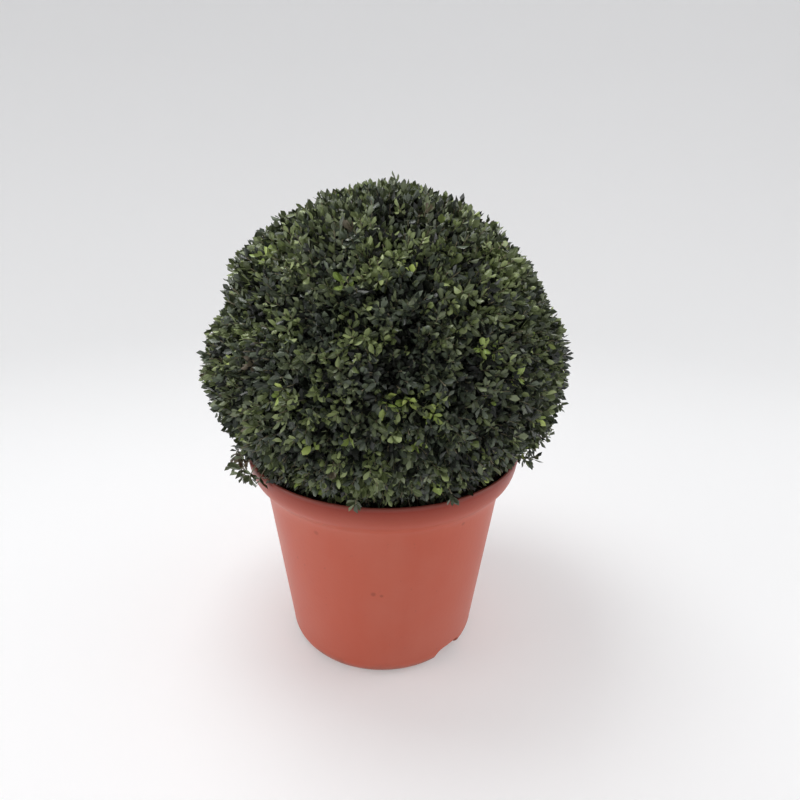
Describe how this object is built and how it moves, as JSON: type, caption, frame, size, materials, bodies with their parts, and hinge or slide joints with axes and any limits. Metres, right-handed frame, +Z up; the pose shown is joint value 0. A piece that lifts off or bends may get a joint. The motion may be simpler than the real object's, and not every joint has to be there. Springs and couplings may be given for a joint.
{
  "type": "potted japanese holly ball",
  "caption": "Clipped ball of small-leaved evergreen foliage on a short stem with boughs, growing in a round tapered plastic nursery pot with a flared collar.",
  "frame": {"origin": "middle of the pot's flat underside, on the ground", "axes": "+Z up, -Y towards the front of the plant, +X to the right of someone who looks at the front"},
  "size_m": [0.3628, 0.3632, 0.5008],
  "materials": {
    "pot_plastic": "satin",
    "potting_mix": "matte",
    "holly_bark": "matte",
    "holly_foliage": "satin"
  },
  "bodies": {
    "root": {"pot": "pot_plastic", "growing_medium": "potting_mix", "main_stem": "holly_bark", "bough_1": "holly_bark", "bough_2": "holly_bark", "bough_3": "holly_bark", "bough_4": "holly_bark", "bough_5": "holly_bark", "bough_6": "holly_bark", "clipped_crown": "holly_foliage"}
  },
  "joints": []
}
